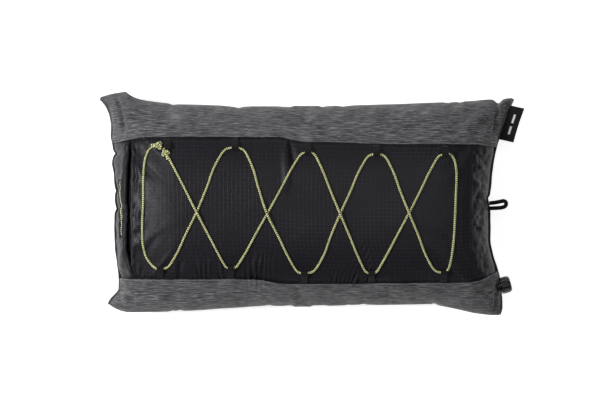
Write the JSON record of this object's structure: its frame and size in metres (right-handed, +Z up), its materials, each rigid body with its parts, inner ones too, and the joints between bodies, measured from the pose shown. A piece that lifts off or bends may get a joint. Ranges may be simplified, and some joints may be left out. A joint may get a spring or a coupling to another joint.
{
  "type": "camping pillow",
  "caption": "Self-inflating rectangular camp pillow with an elastic-laced back, an end pocket, a hang loop and a corner twist valve.",
  "frame": {"origin": "centre of the flat patch on which the pillow rests, on its sleeping face", "axes": "+X along the pillow towards the valve and the hang loop, +Y across it, +Z up through the laced back"},
  "size_m": [0.5072, 0.2627, 0.1081],
  "materials": {
    "heather_fabric": "matte knit with a heathered grain",
    "black_ripstop": "soft-sheen ripstop weave",
    "black_webbing": "matte ribbed webbing",
    "lime_cord": "braided elastic cord",
    "coated_bladder": "coated airtight cloth",
    "foam": "open-cell foam",
    "valve_plastic": "moulded, glossy",
    "seal_rubber": "matte",
    "woven_label": "woven ribbon"
  },
  "bodies": {
    "pillow": {"cover_face": "heather_fabric", "upper_band": "heather_fabric", "lower_band": "heather_fabric", "back_panel": "black_ripstop", "bladder_back_skin": "coated_bladder", "bladder_face_skin": "coated_bladder", "foam_core": "foam", "valve_body": "valve_plastic", "valve_collar": "valve_plastic", "valve_plug": "valve_plastic", "cord_knot_left": "lime_cord", "cord_knot_right": "lime_cord", "upper_tab_1": "black_webbing", "lower_tab_1": "black_webbing", "upper_tab_2": "black_webbing", "lower_tab_2": "black_webbing", "upper_tab_3": "black_webbing", "lower_tab_3": "black_webbing", "upper_tab_4": "black_webbing", "lower_tab_4": "black_webbing", "upper_tab_5": "black_webbing", "lower_tab_5": "black_webbing"},
    "hang_loop": {"hang_loop": "black_webbing"},
    "side_label": {"side_label": "woven_label"},
    "pocket_flap": {"pocket_flap": "black_ripstop", "draw_cord": "lime_cord"},
    "lacing": {"shock_cord": "lime_cord"},
    "valve_seal": {"valve_seal": "seal_rubber"},
    "valve_cap": {"valve_cap": "valve_plastic"}
  },
  "joints": [
    {"name": "valve_lift", "type": "slide", "parent": "pillow", "child": "valve_seal", "axis": [0.9611, 0.2764, 0], "range_m": [0, 0.00306]},
    {"name": "valve_turn", "type": "hinge", "parent": "valve_seal", "child": "valve_cap", "pos_m": [0.23556, -0.098, 0.044], "axis": [0.9611, 0.2764, 0], "range_deg": [0, 270]},
    {"name": "hang_loop_swing", "type": "hinge", "parent": "pillow", "child": "hang_loop", "pos_m": [0.2264, 0, 0.044], "axis": [0, -1, 0], "range_deg": [-75, 75]},
    {"name": "side_label_flex", "type": "hinge", "parent": "pillow", "child": "side_label", "pos_m": [0.24294, 0.1025, 0.044], "axis": [-0.3616, -0.9323, 0], "range_deg": [-70, 70]},
    {"name": "pocket_flap_gape", "type": "hinge", "parent": "pillow", "child": "pocket_flap", "pos_m": [-0.2238, 0, 0.0443], "axis": [0, -1, 0], "range_deg": [0, 35]},
    {"name": "lacing_lift", "type": "slide", "parent": "pillow", "child": "lacing", "axis": [0, 0, 1], "range_m": [0, 0.03], "deforming": ["shock_cord"]}
  ],
  "couplings": [
    {"joint": "valve_turn", "follows": "valve_lift", "rad_per_m": 1540}
  ]
}
